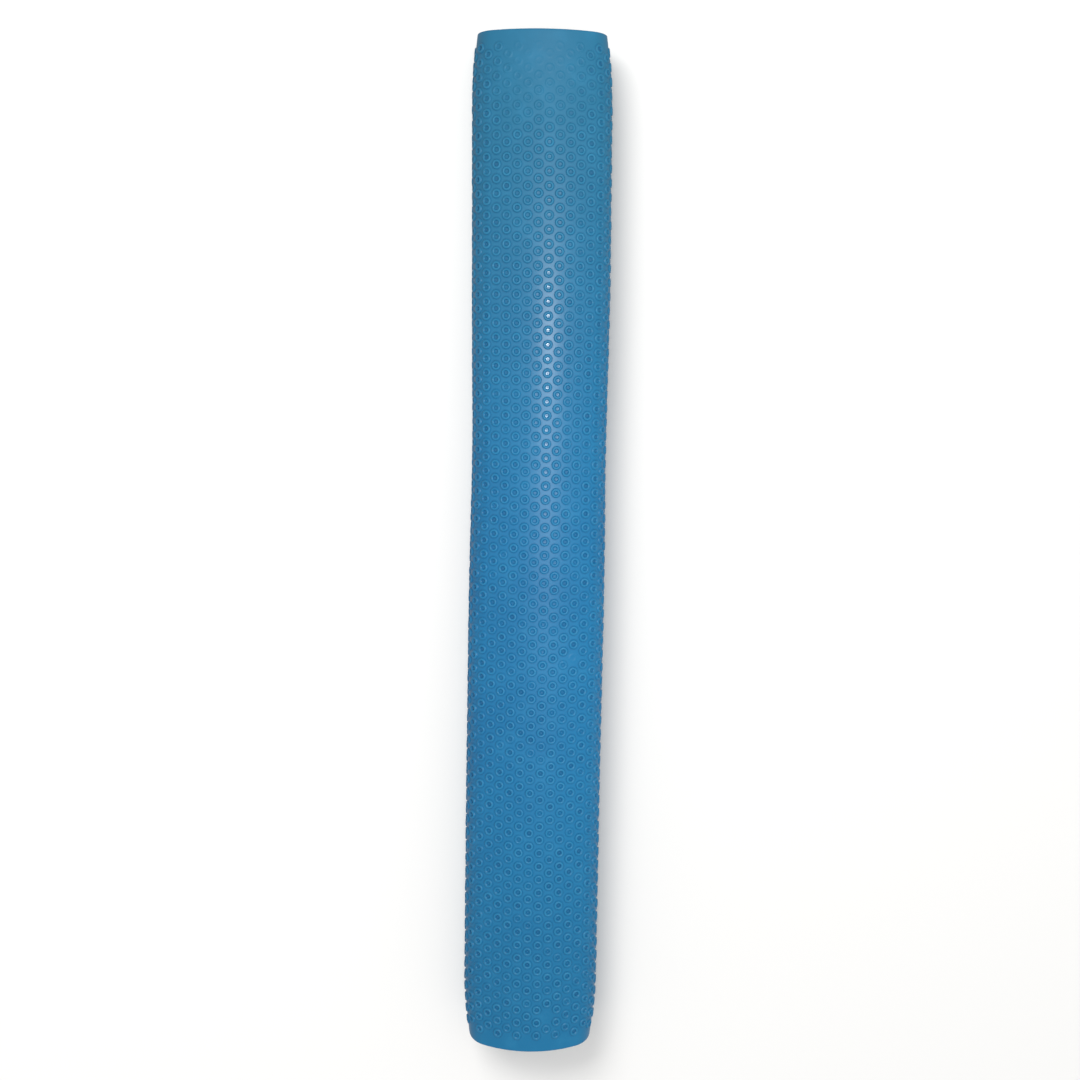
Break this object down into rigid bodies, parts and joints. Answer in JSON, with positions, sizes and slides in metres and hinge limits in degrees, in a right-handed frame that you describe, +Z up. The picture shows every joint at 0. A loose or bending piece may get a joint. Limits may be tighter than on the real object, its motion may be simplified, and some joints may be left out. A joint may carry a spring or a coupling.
{
  "type": "rubber handle grip sleeve",
  "caption": "Soft oval rubber sleeve, open at both ends, with a field of small ring nubs for grip and plain cuffs; rolls onto a bat or tool handle.",
  "frame": {"origin": "on the table under the middle of the sleeve, which lies on one of its two broad sides", "axes": "+Y along the sleeve towards the butt mouth, +X across it, +Z up out of the broad side"},
  "size_m": [0.0392, 0.29, 0.0196],
  "materials": {
    "nub_rubber": "semi-gloss moulded rubber, ring nubs",
    "cuff_rubber": "semi-gloss moulded rubber, smooth",
    "liner_rubber": "matt rubber, lightly talced"
  },
  "bodies": {
    "root": {"inner_ply": "liner_rubber", "textured_ply": "nub_rubber", "butt_end_cuff": "cuff_rubber", "shoulder_end_cuff": "cuff_rubber"}
  },
  "joints": []
}
